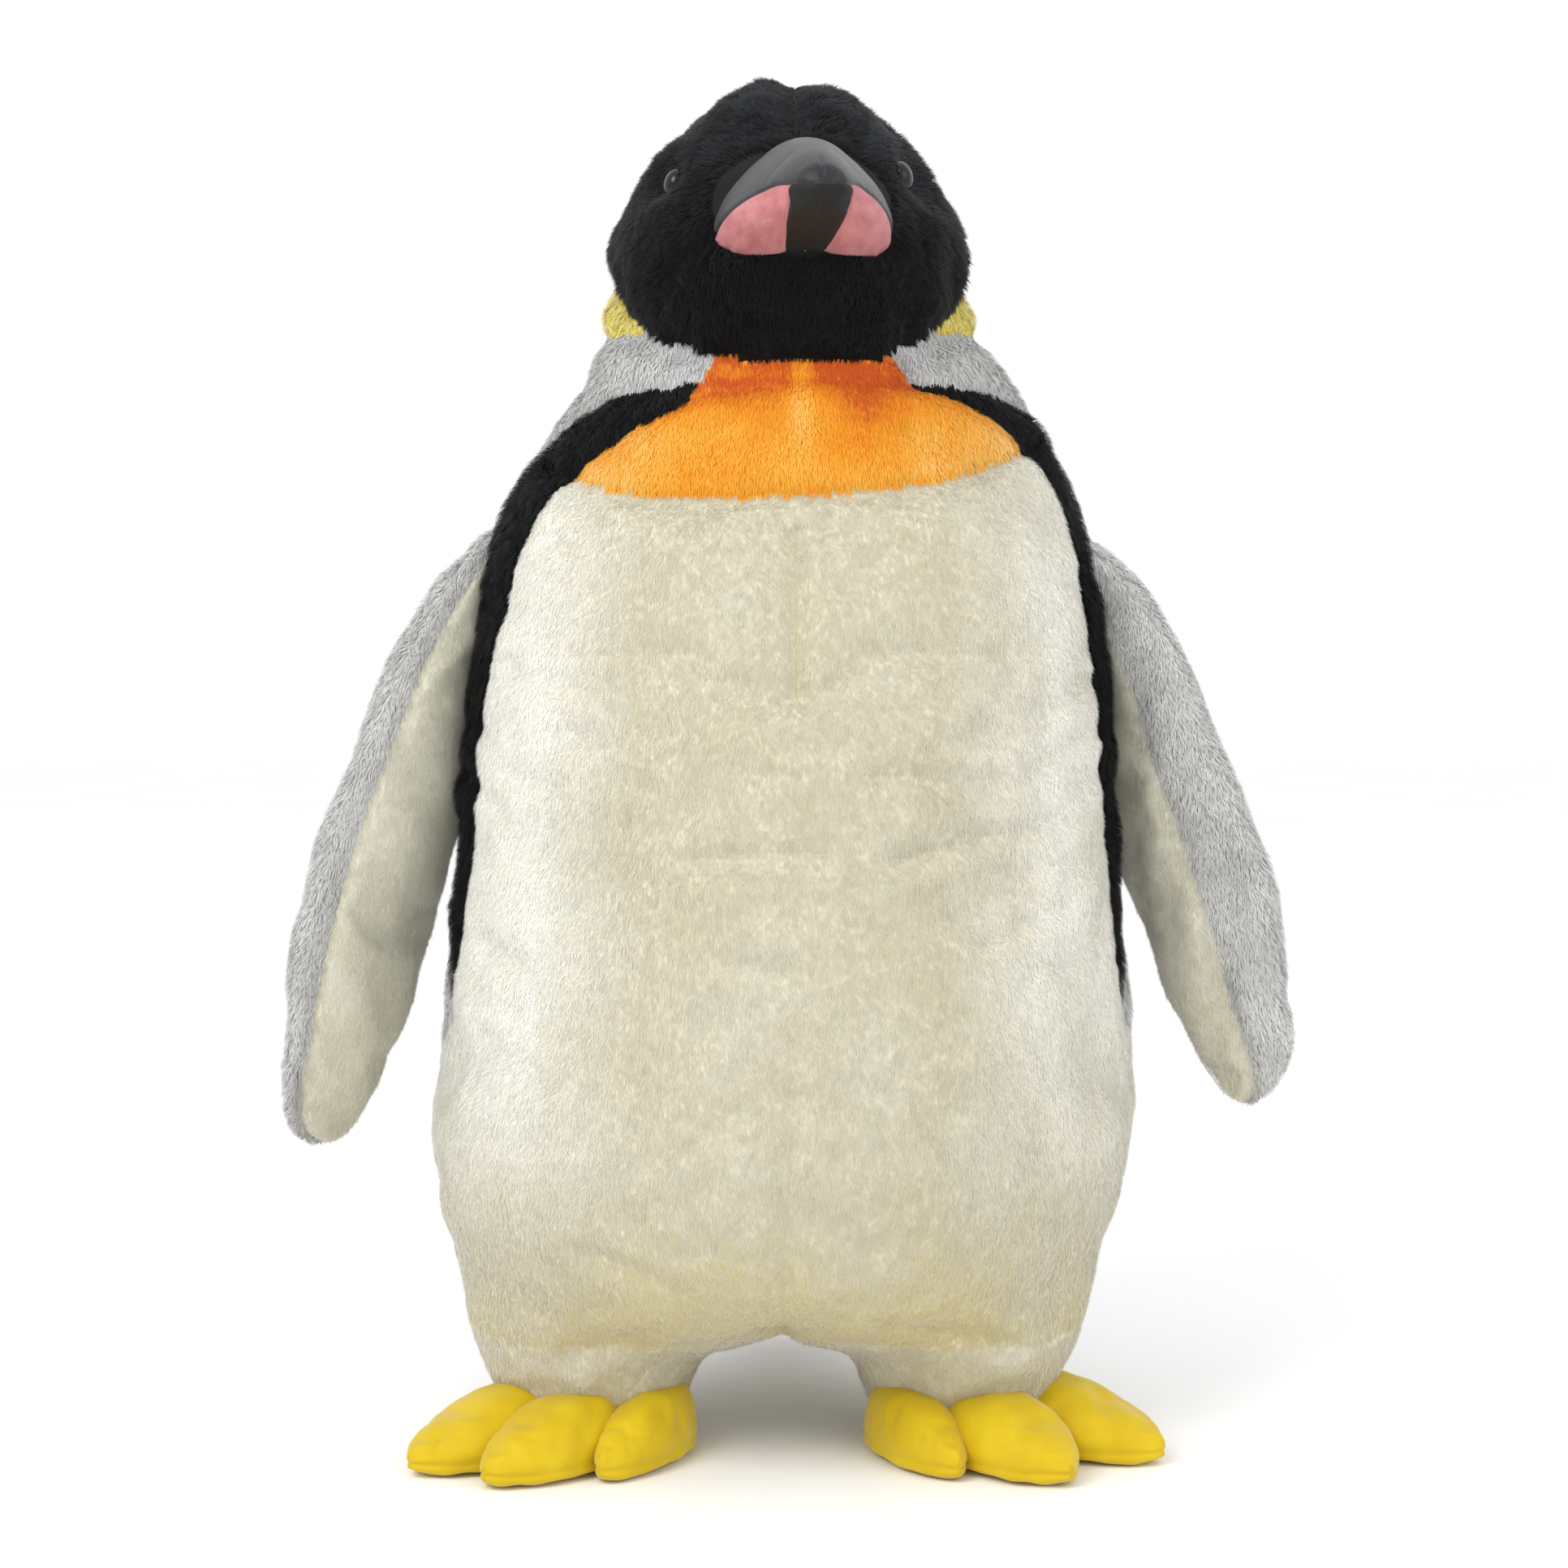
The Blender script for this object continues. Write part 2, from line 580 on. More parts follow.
def from_side(p):
    """Depth and height of points as the side seams see them, with the turn of the body taken out."""
    turn = np.clip((p[:, 2] - 0.38) / 0.1, 0, 1) * np.clip((0.56 - p[:, 2]) / 0.02, 0, 1)
    depth = p[:, 1] - TURN * MM * turn * np.clip(p[:, 0] / 0.08, -1, 1)
    return np.stack([depth, p[:, 2]], axis=1)


def seam_gaps(p):
    """Distance of each point from each sewn seam."""
    side = from_side(p)
    front = p[:, [0, 2]]
    ahead = p[:, 1] < 0
    far = np.full(len(p), 1.0)
    x, z = p[:, 0], p[:, 2]
    on_chin, on_dart = [(z > low * MM) & (z < high * MM) for low, high in (CHIN_SPAN, DART_SPAN)]
    return {
        "hood": distance_to(side, HOOD_LINE),
        "ear": distance_to(side, EAR_LINE),
        "stripe_front": distance_to(side, FRONT_LINE),
        "stripe_rear": distance_to(side, REAR_LINE),
        "side": distance_to(side, SIDE_SEAM),
        "bib": np.where(ahead & (np.abs(x) < BIB_HALF_WIDTH * MM), np.abs(z - bib_level(x)), far),
        "chin": np.where(ahead & on_chin, np.abs(np.abs(x) - chin_half(z)), far),
        "crown": np.where(z > CROWN_BOTTOM * MM, np.abs(x - 0.001), far),
        "nape": np.where(~ahead & (z > NAPE_BOTTOM * MM), np.abs(x), far),
        "dart": np.where(ahead & on_dart, np.abs(x - 0.003), far),
        "belly": np.where(ahead & (z < BELLY_SEAM_TOP * MM), np.abs(x - 0.003), far),
    }


# Each seam: how deep it is drawn in and how wide its valley is, in millimetres.
SEAMS = {
    "hood": (5.0, 7), "ear": (1.5, 5), "stripe_front": (2.0, 5), "stripe_rear": (2.0, 5), "side": (1.6, 5),
    "bib": (2.5, 5), "chin": (5.0, 7), "crown": (1.0, 8), "nape": (2.0, 6), "dart": (2.2, 5),
    "belly": (1.8, 6),
}
# Where each eye shows in the pile: across, depth, height.
EYES = {"left": (-66.0, -59.0, 641.0), "right": (65.0, -59.0, 644.5)}
# How far behind that place an eye's rim sits, and how far round the place no pile grows.
EYE_DEPTH, EYE_CLEAR = 10, 3
EYE_RADIUS, EYE_HEIGHT, EYE_AROUND = 8, 6, 32
# The pile of the head grows away from this place.
FACE_MIDDLE = (4, -110, 625)
# Middle and half size of the spot under the beak's root where no pile grows, seen from the front.
BEAK_SPOT, BEAK_SPOT_HALF = (6, 624.5), (43, 27)


def sew(obj):
    """Draw the seams in, dent the eyes and the creases, and leave room for the pile."""
    p, n = read(obj), read(obj, "normal")
    inward = np.zeros(len(p))
    for name, gap in seam_gaps(p).items():
        depth, width = SEAMS[name]
        inward += depth * MM * np.exp(-((gap / (width * MM)) ** 2))
    front = p[:, [0, 2]]
    # Each crease is a valley with a low ridge beside it.
    for x0, z0, x1, z1, depth in CREASES:
        gap = distance_to(front, np.array([(x0, z0), (x1, z1)]) * MM)
        valley = np.exp(-((gap / (CREASE_WIDTH * MM)) ** 2))
        ridge = np.exp(-(((gap - CREASE_RIDGE * MM) / 0.007) ** 2))
        inward += np.where(p[:, 1] < 0, depth * MM * valley, 0)
        inward -= np.where(p[:, 1] < 0, depth * 0.4 * MM * ridge, 0)
    for place in EYES.values():
        gap = np.linalg.norm(p - np.array(place) * MM, axis=1)
        inward += 0.0075 * np.exp(-((gap / 0.015) ** 2))
    # The longer pile of the head and the back needs more room than the belly's.
    head = np.clip((p[:, 2] - 0.545) / 0.02, 0, 1)
    rear = np.clip((from_side(p)[:, 0] + 0.05) / 0.03, 0, 1)
    inward += 0.001 + 0.003 * np.maximum(head, rear * 0.7)
    # The filling is a little lumpy, most of all in the head.
    puff = waves(p, 0.09, 21) * 0.0012 + waves(p, 0.035, 22) * 0.0006
    puff += np.clip((p[:, 2] - 0.57) / 0.02, 0, 1) * waves(p, 0.045, 23) * 0.0014
    p = p + n * (puff - inward)[:, None]
    # The chin puffs out, the shoulders and legs stand off the middle, and the body arches between the legs.
    chin = np.exp(-(((p[:, 2] - 0.577) / 0.022) ** 2) - (p[:, 0] / 0.06) ** 4) * (p[:, 1] < -0.05)
    p[:, 1] -= 0.008 * chin
    shoulder = np.exp(-(((p[:, 2] - 0.53) / 0.03) ** 2))
    p[:, 0] += 0.004 * shoulder - LEG_SHIFT * MM * np.clip((0.22 - p[:, 2]) / 0.1, 0, 1)
    arch = np.exp(-(((p[:, 0] + 0.004) / 0.042) ** 2)) * np.clip((p[:, 2] - 0.02) / 0.015, 0, 1)
    p[:, 2] += 0.015 * arch * np.clip((0.1 - p[:, 2]) / 0.04, 0, 1)
    p[:, 2] = np.where(p[:, 2] < 0.004, np.maximum(p[:, 2], 0.0006), p[:, 2])
    write(obj, p)


def regions(p):
    """Which sewn panel each point of the body belongs to."""
    side = from_side(p)
    ahead = p[:, 1] < 0
    left = p[:, 0] < 0.001
    hood = p[:, 2] > np.interp(side[:, 0], HOOD_LINE[:, 0], HOOD_LINE[:, 1])
    chin = hood & ahead & (np.abs(p[:, 0]) < chin_half(p[:, 2])) & (p[:, 2] < 0.614) & (p[:, 1] < -0.05)
    ear_level = np.interp(side[:, 0], EAR_LINE[:, 0], EAR_LINE[:, 1], left=9, right=9)
    ear = ~hood & (p[:, 2] > ear_level)
    stripe = ~hood & ~ear & inside(side, STRIPE)
    back = ~hood & ~ear & ~stripe & inside(side, BACK)
    leg = np.zeros(len(p), bool)
    for sign in (-1, 1):
        x = (p[:, 0] + LEG_SHIFT * MM - sign * LEG_CENTRE[0] * MM) / 0.070
        y = (p[:, 1] - LEG_CENTRE[1] * MM) / 0.074
        leg |= (x * x + y * y < 1) & (p[:, 2] < LEG_TOP * MM)
    base = leg & (p[:, 2] < LEG_BASE_TOP * MM)
    seat = ~leg & (p[:, 2] < SEAT_TOP * MM)
    lean = (p[:, 2] - THROAT_HEIGHT * MM) * THROAT_LEAN
    across = (p[:, 0] > lean + THROAT_SIDES[0] * MM) & (p[:, 0] < THROAT_SIDES[1] * MM - lean)
    throat = ahead & across & (p[:, 2] > THROAT_BOTTOM * MM)
    stripe, back = stripe & ~throat, back & ~throat
    bib = ~hood & ~ear & ~stripe & ~back & ahead & (p[:, 2] > bib_level(p[:, 0]))
    rest = ~(hood | ear | stripe | back | bib)
    return {
        "chin_panel": chin, "hood": hood & ~chin, "ear_patch": ear, "stripe": stripe,
        "leg_base": base, "leg": leg & ~base, "seat_panel": seat,
        "back": back & ~leg & ~seat, "bib": bib, "belly": rest & ~leg & ~seat,
    }, left


def near_seam(points, reach):
    """How near points are to a seam that shows: 1 on it, falling to 0 beyond its reach."""
    near = np.zeros(len(points))
    for name, gap in seam_gaps(points).items():
        if name not in ("nape", "belly", "side"):
            near = np.maximum(near, np.exp(-((gap / reach) ** 2)))
    return near


def seam_shade(points):
    """Pile is darker down in the seams."""
    return -1.3 * near_seam(points, 0.0035)


def seam_trim(points):
    """Pile is shorter beside the seams, so that their edges stay clean."""
    return 1 - 0.55 * near_seam(points, 0.006)


def face_combed(points, up):
    """Hair on the head grows away from the beak and the crown seam, and down."""
    away = unit(points - np.array(FACE_MIDDLE) * MM)
    aside = points[:, 0] - 0.003
    parting = np.sign(aside) * np.exp(-((aside / 0.025) ** 2)) * (points[:, 2] > 0.65)
    return away * 0.9 + np.array([0.0, 0.25, -0.6]) + parting[:, None] * np.array([0.8, 0, 0])


def head_tint(points):
    """Lighter locks up on the head, darker under the beak and in the seams."""
    height = np.clip((points[:, 2] - 0.635) / 0.05, -1.3, 0.6)
    return height + waves(points, 0.03, 6) * 0.5 + seam_shade(points)


def bib_tint(points):
    """Redder under the chin, a yellow streak at the middle, a brown shade beside it, paler to the sides."""
    chin = np.clip((points[:, 2] - 0.515) / 0.02, 0, 1.3)
    x = points[:, 0] - 0.006
    streak = np.exp(-((x / 0.006) ** 2)) * np.clip((points[:, 2] - 0.5) / 0.02, 0, 1)
    shadow = np.exp(-(((x - 0.03) / 0.014) ** 2)) * np.clip((points[:, 2] - 0.5) / 0.02, 0, 1)
    sides = np.clip((np.abs(points[:, 0]) - 0.05) / 0.06, 0, 1)
    return (
        seam_shade(points) * 0.6 - chin * 1.5 + streak * 1.6 - shadow * 1.4 + sides * 1.7
        + waves(points, 0.03, 9) * 0.3
    )


def clear_of_face(points):
    """True where the pile may grow, clear of the eyes and the beak."""
    keep = np.ones(len(points), bool)
    for place in EYES.values():
        keep &= np.linalg.norm(points - np.array(place) * MM, axis=1) > EYE_CLEAR * MM
    spot = (points[:, [0, 2]] - np.array(BEAK_SPOT) * MM) / (np.array(BEAK_SPOT_HALF) * MM)
    beak = (spot**2).sum(axis=1) < 1
    return keep & ~(beak & (points[:, 1] < -0.05))


def belly_tint(points):
    """Whiter towards both sides, yellower low down, mottled all over."""
    sides = np.clip((np.abs(points[:, 0]) - 0.075) / 0.055, 0, 1) * 2.7
    sides *= np.clip((points[:, 2] - 0.08) / 0.15, 0.4, 1)
    sides *= np.where(points[:, 0] < 0, 1.15, 0.9)
    low = np.clip((0.16 - points[:, 2]) / 0.09, 0, 1) * 1.7
    return sides - low - 0.25 + waves(points, 0.06, 8) * 0.25 + seam_shade(points) * 0.4


def leg_tint(points):
    """The legs are lighter than the belly just above them."""
    return belly_tint(points) + 1.3


def long_pile(kind, length=0.008, per_cm2=110, **more):
    return dict(kind=kind, comb=down, length=length, per_cm2=per_cm2, tint=seam_shade) | more


def short_pile(kind, length=0.0034, per_cm2=185, **more):
    return dict(kind=kind, comb=down, length=length, per_cm2=per_cm2, lean=(58, 82), clump=0.005, pull=0.25,
                spread=0.35, jitter=0.35, short=True) | more


COATS = {
    "hood": long_pile("black", 0.0068, 170, comb=face_combed, keep=clear_of_face, clump=0.009, pull=0.55,
                      tint=head_tint, lean=(48, 78), width=0.00034, trim=seam_trim),
    "chin_panel": long_pile("black", 0.0065, 150, keep=clear_of_face, clump=0.008, pull=0.45, shade=-0.8,
                            tint=head_tint, lean=(48, 78), trim=seam_trim),
    "stripe": long_pile("black", 0.0058, 150, shade=-0.5),
    "ear_patch": long_pile("yellow", 0.0062, 150, shade=0.6, lean=(50, 78), trim=seam_trim),
    "bib": long_pile("orange", 0.0042, 250, width=0.0003, lean=(56, 81), clump=0.005, pull=0.2, spread=0.32,
                     tint=bib_tint),
    "back": long_pile("grey", 0.0058, 110, width=0.00044, clump=0.006, pull=0.3, lean=(54, 80),
                      shade=0.5, trim=seam_trim),
    "belly": short_pile("cream", tint=belly_tint),
    "leg": short_pile("cream", tint=leg_tint, keep=lambda p: p[:, 2] > 0.004),
    "seat_panel": short_pile("cream", per_cm2=60, width=0.0006, shade=-0.8),
}
ONE_PIECE = ("chin_panel", "bib", "seat_panel")


def make_body():
    obj = body_shape()
    p = read(obj)
    held = np.zeros(len(p))
    for gap in seam_gaps(p).values():
        held = np.maximum(held, np.clip(1 - gap / 0.007, 0, 1))
    held = np.maximum(held, (p[:, 2] < 0.015) * 1.0)
    inflate(obj, held, 3.0, 0.006)
    subdivide(obj)
    sew(obj)
    filling(obj, "body_filling", "torso", 0.0035,
            "torso_stuffing", "head_stuffing", "leg_stuffing_left", "leg_stuffing_right")
    p = read(obj)
    middle = p[quads(obj)].mean(axis=1)
    panels, left = regions(middle)
    for name, chosen in panels.items():
        sides = {"": chosen} if name in ONE_PIECE else {"_left": chosen & left, "_right": chosen & ~left}
        for suffix, faces in sides.items():
            coat = COATS.get(name)
            cloth = KINDS[coat["kind"] if coat else "cream"][0]
            skin = part_of(obj, f"{name}{suffix}_skin", faces, "torso", name + suffix, cloth)
            if coat:
                grow(f"{name}{suffix}_pile", skin, **coat)
    bpy.data.objects.remove(obj)


def filling(source, name, body, inset, *nodes):
    """The stuffing behind a skin: the same shape a little smaller."""
    points = read(source) - read(source, "normal") * inset
    points[:, 2] = np.maximum(points[:, 2], 0.002)
    obj = new_object(name, points, [tuple(dict.fromkeys(f)) for f in quads(source).tolist()])
    obj.data.materials.append(FIBRE)
    for polygon in obj.data.polygons:
        polygon.use_smooth = True
    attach(obj, body)
    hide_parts(*nodes)
    return obj


# ---- beak ----
# Root to tip, in millimetres and degrees: depth, half width, half height, height of centre, sideways lean,
# angle of the mouth seam above the side, half width of the dark band below.
BEAK_ROWS = [
    (-84, 45.5, 29.8, 624.5, 6.5, -32, 8), (-104, 43.5, 28.5, 624.5, 7.5, -28.5, 9.5),
    (-122, 39.5, 26, 624, 8.5, -23, 10.7), (-140, 33.5, 22.5, 623, 10, -15.5, 12),
    (-156, 26.5, 18.5, 621.5, 11.5, -8, 13.5), (-168, 19.8, 15, 620, 13, -1, 14.3),
    (-177, 14.6, 11.8, 618.5, 14.2, 0, 14.6), (-182, 11, 9.2, 618, 14.8, 0, 14.6),
    (-185, 7, 6, 617.6, 15, 0, 14.6), (-186.5, 2.5, 2.2, 617.4, 15, 0, 14.6),
    (-186.8, 0.02, 0.02, 617.4, 15, 0, 14.6),
]
# The beak's section, from base to ridge: height as a share, and its sideways reach against an ellipse.
BEAK_SECTION = [
    (-1, 1.9), (-0.81, 1.38), (-0.54, 1.12), (-0.16, 0.93),
    (0.1, 0.84), (0.38, 0.74), (0.7, 0.64), (1, 0.62),
]
BEAK_RINGS = 90
# The pink patches end at this depth, short of the tip.
PATCH_END = -176.5


def across_beak(angle, fullness):
    """Sideways reach of the beak's section at an angle: narrow at the ridge and full at the base."""
    height = np.sin(np.radians(angle))
    shape = np.interp(height, *np.array(BEAK_SECTION).T)
    return np.cos(np.radians(angle)) * (1 + (shape - 1) * fullness)


def beak_panel(name, low, high, columns, node, material, last=None, seams=()):
    """A panel of the beak between two angles, which change from root to tip."""
    rows = smooth(BEAK_ROWS, BEAK_RINGS)
    if last:
        rows = rows[rows[:, 0] > last]
    points = []
    for y, half_width, half_height, z, lean, mouth, band in rows:
        fullness = np.clip((y + 186) / 30, 0, 1)
        under = np.linspace(-90, mouth, 200)
        reach = 90 + np.interp(band, half_width * across_beak(under, fullness), under)
        share = np.linspace(0, 1, columns)
        start, end = low(mouth, reach), high(mouth, reach)
        angle = np.radians(start + (end - start) * share)
        edge = np.minimum(share, 1 - share) * abs(end - start) * pi / 180 * max(half_width, 1)
        slim = min(1, half_width / 6)
        tuck = 0.9 * np.exp(-((edge / 1.3) ** 2)) * slim
        for centre, depth, begin in seams:
            run = np.abs(angle - radians(centre)) * half_height
            tuck = tuck + depth * np.exp(-((run / 1.1) ** 2)) * np.clip((begin - y) / 8, 0, 1) * slim
        slack = 1 - tuck / max(half_height, 3)
        x = lean + half_width * across_beak(np.degrees(angle), fullness) * slack
        height = z + half_height * np.sin(angle) * slack
        # Near the root the underside is hollow along the middle.
        hollow = np.clip((y + 130) / 40, 0, 1) * np.clip(-np.sin(angle), 0, 1)
        height = height + 4.5 * hollow * np.exp(-(((x - lean - 2) / 17) ** 2))
        points.append(np.stack([x, np.full(columns, y), height], axis=1) * MM)
    faces = [
        (r * columns + c, r * columns + c + 1, (r + 1) * columns + c + 1, (r + 1) * columns + c)
        for r in range(len(rows) - 1)
        for c in range(columns - 1)
    ]
    obj = new_object(name, np.concatenate(points), faces)
    obj.data.materials.append(material)
    for polygon in obj.data.polygons:
        polygon.use_smooth = True
    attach(obj, "torso")
    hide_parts(node)
    return obj


def make_beak():
    beak_panel("beak_upper_skin", lambda m, r: m, lambda m, r: 180 - m, 81, "beak_upper", SATIN_CHARCOAL,
               seams=[(90, 1.0, -172)])
    beak_panel("beak_patch_right_skin", lambda m, r: -90 + r, lambda m, r: m, 25,
               "beak_patch_right", SATIN_PINK, PATCH_END)
    beak_panel("beak_patch_left_skin", lambda m, r: 180 - m, lambda m, r: 270 - r, 25,
               "beak_patch_left", SATIN_PINK, PATCH_END)
    beak_panel("beak_lower_skin", lambda m, r: max(180 - m, 270 - r), lambda m, r: min(360 + m, 270 + r), 41,
               "beak_lower", SATIN_OLIVE, seams=[(270, 0.6, -90)])
    rows = smooth(BEAK_ROWS[:7], 30) * MM
    centres = rows[:, 4:5] * ACROSS + rows[:, :1] * DEPTH + rows[:, 3:4] * UP
    inner = rings(centres, ACROSS, UP, rows[:, 1] * 0.58, rows[:, 2] * 0.88, 40)
    fill = new_object("beak_filling", inner.reshape(-1, 3), closed_faces(len(rows), 40))
    fill.data.materials.append(FIBRE)
    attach(fill, "torso")
    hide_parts("beak_stuffing")


# ---- flippers ----
# For each flipper, how many steps round the section, out of FLIPPER_AROUND, its front seam lies on the inner
# face; then from shoulder to tip: centre line point, half chord, half thickness.
FLIPPERS = {
    "left": (5, [
        (-134, -2, 472, 16, 9), (-149, -5, 452, 29, 14), (-171, -7, 408, 41, 18), (-192, -9, 350, 48, 20),
        (-218, -12, 270, 51, 20), (-233, -15, 205, 43, 17), (-241, -17, 174, 33, 13),
        (-245, -18, 158, 21, 9), (-245, -18, 152, 6, 3),
    ]),
    "right": (9, [
        (134, -2, 470, 16, 9), (146, -5, 452, 28, 14), (169, -7, 408, 41, 18), (189, -9, 352, 48, 21),
        (213, -12, 282, 51, 21), (230, -15, 222, 43, 18), (238, -17, 194, 33, 14), (240, -18, 179, 21, 9),
        (240, -18, 173, 6, 3),
    ]),
}
FLIPPER_TWIST = 36  # degrees by which the front edge is turned outwards
FLIPPER_RINGS = 64
FLIPPER_AROUND = 48


def make_flipper(word):
    """A long cushion of two panels, with its front seam lying towards the inner face."""
    front_seam, rows = FLIPPERS[word]
    rows = smooth(rows, FLIPPER_RINGS) * MM
    side = -1 if word == "left" else 1
    body = f"flipper_{word}"
    centres = rows[:, :3]
    run = unit(centres[-1] - centres[0])
    chord = np.array([side * sin(radians(FLIPPER_TWIST)), -cos(radians(FLIPPER_TWIST)), 0])
    chord = unit(chord - run * (chord @ run))
    thick = np.cross(run, chord) * -side
    shrink = 0.002
    grid = rings(centres, chord, thick, rows[:, 3] - shrink, rows[:, 4] - shrink, FLIPPER_AROUND)
    faces = closed_faces(len(rows), FLIPPER_AROUND)
    if side > 0:
        faces = [tuple(reversed(f)) for f in faces]
    obj = new_object(f"{body}_shape", grid.reshape(-1, 3), faces)
    index = np.arange(len(obj.data.vertices))
    column, row = index % FLIPPER_AROUND, index // FLIPPER_AROUND
    front_column, rear_column = FLIPPER_AROUND - front_seam, FLIPPER_AROUND // 2
    front, rear = np.abs(column - front_column), np.abs(column - rear_column)
    held = np.where((front == 0) | (rear == 0) | (row < 2) | (row > FLIPPER_RINGS - 3), 1.0, 0.0)
    inflate(obj, held, 2.5, 0.0035, growth=0.02)
    p, n = read(obj), read(obj, "normal")
    seam = np.minimum(front, rear) * 2 * pi / FLIPPER_AROUND * np.sqrt(rows[row, 3] * rows[row, 4])
    puff = waves(p * np.array([1, 1, 0.5]), 0.035, 31) * 0.0009
    p = p + n * (puff - 0.0015 - 0.0022 * np.exp(-((seam / 0.004) ** 2)))[:, None]
    write(obj, p)
    subdivide(obj)
    filling(obj, f"{body}_filling", body, 0.0022, f"flipper_stuffing_{word}")
    # Subdividing makes four faces of each, in their order; the end caps come last and count as outer face.
    order = np.repeat(np.arange((FLIPPER_RINGS - 1) * FLIPPER_AROUND) % FLIPPER_AROUND, 4)
    caps = np.zeros(len(obj.data.polygons) - len(order))
    column = np.concatenate([order, caps])
    inner = (column >= rear_column) & (column < front_column)
    seam_angle = front_seam * 2 * pi / FLIPPER_AROUND
    ahead, inwards = rows[:, 3:4] * cos(seam_angle), rows[:, 4:5] * sin(seam_angle)
    seam_points = centres + chord * ahead - thick * inwards

    def seam_tint(points):
        gap = distance_to(points[:, [0, 2]], seam_points[4:-2:3][:, [0, 2]])
        return -1.6 * np.exp(-((gap / 0.005) ** 2)) + waves(points, 0.04, 12) * 0.45

    def along(points, up):
        return np.tile(run, (len(points), 1))

    coats = {
        "outer": long_pile("grey", 0.0056, 150, comb=along, clump=0.006, pull=0.35, tint=seam_tint,
                           shade=0.5),
        "inner": short_pile("inner", 0.0036, 150, comb=along, tint=seam_tint),
    }
    for face, chosen in (("outer", ~inner), ("inner", inner)):
        coat = coats[face]
        node = f"flipper_{face}_{word}"
        skin = part_of(obj, f"{node}_skin", chosen, body, node, KINDS[coat["kind"]][0])
        grow(f"{node}_pile", skin, **coat)
    bpy.data.objects.remove(obj)


# ---- tail ----
# Root to tip: depth, height, half width, half thickness.
TAIL_ROWS = [
    (126, 86, 46, 18), (148, 68, 44, 17), (168, 46, 33, 13), (178, 34, 20, 8), (183, 28, 8, 4),
    (185, 26, 2, 1.5),
]
TAIL_AROUND = 32


def make_tail():
    rows = smooth(TAIL_ROWS, 30) * MM
    centres = rows[:, :1] * DEPTH + rows[:, 1:2] * UP
    run = unit(centres[-1] - centres[0])
    thick = np.cross(run, ACROSS)
    grid = rings(centres, ACROSS, thick, rows[:, 2], rows[:, 3], TAIL_AROUND)
    obj = new_object("tail_shape", grid.reshape(-1, 3), closed_faces(len(rows), TAIL_AROUND))
    index = np.arange(len(obj.data.vertices))
    root = index < 2 * TAIL_AROUND
    held = np.where((index % (TAIL_AROUND // 2) == 0) | root, 1.0, 0.0)
    inflate(obj, held, 2.0, 0.003)
    subdivide(obj)
    filling(obj, "tail_filling", "tail", 0.0025, "tail_stuffing")
    p = read(obj)
    middle = p[quads(obj)].mean(axis=1)
    facing = (middle - centres[0]) @ thick
    upward = facing * thick[2] > 0
    for node, chosen, kind in (("tail_top", upward, "grey"), ("tail_bottom", ~upward, "cream")):
        skin = part_of(obj, f"{node}_skin", chosen, "tail", node, KINDS[kind][0])
        grow(f"{node}_pile", skin, kind, lambda q, up: np.tile(run, (len(q), 1)), 0.0058, 110)
    bpy.data.objects.remove(obj)


# ---- toes ----
# Each toe: its centre across and in depth, splay in degrees, half width, half length, height.
TOES = {
    "left": {
        "outer": (-146, -65, 50, 28, 55, 38),
        "middle": (-116, -84, 42, 25.5, 49, 38),
        "inner": (-73, -74, 26, 18, 43, 37),
    },
    "right": {
        "outer": (144, -50, 56, 28, 53, 38),
        "middle": (110, -80, 36, 27.5, 47, 38),
        "inner": (64.5, -71, 26, 18.5, 43, 37),
    },
}
# Along a toe from root to tip: place, share of the half width, share of the height.
TOE_PLAN = [
    (-1.0, 0.05, 0.3), (-0.9, 0.5, 0.7), (-0.65, 0.85, 0.97), (-0.3, 1.0, 1.0), (0.1, 1.0, 0.92),
    (0.4, 0.88, 0.76), (0.65, 0.66, 0.57), (0.82, 0.43, 0.41), (0.94, 0.2, 0.27), (1.0, 0.04, 0.16),
]
TOE_SEAM = 0.0075
TOE_AROUND = 40


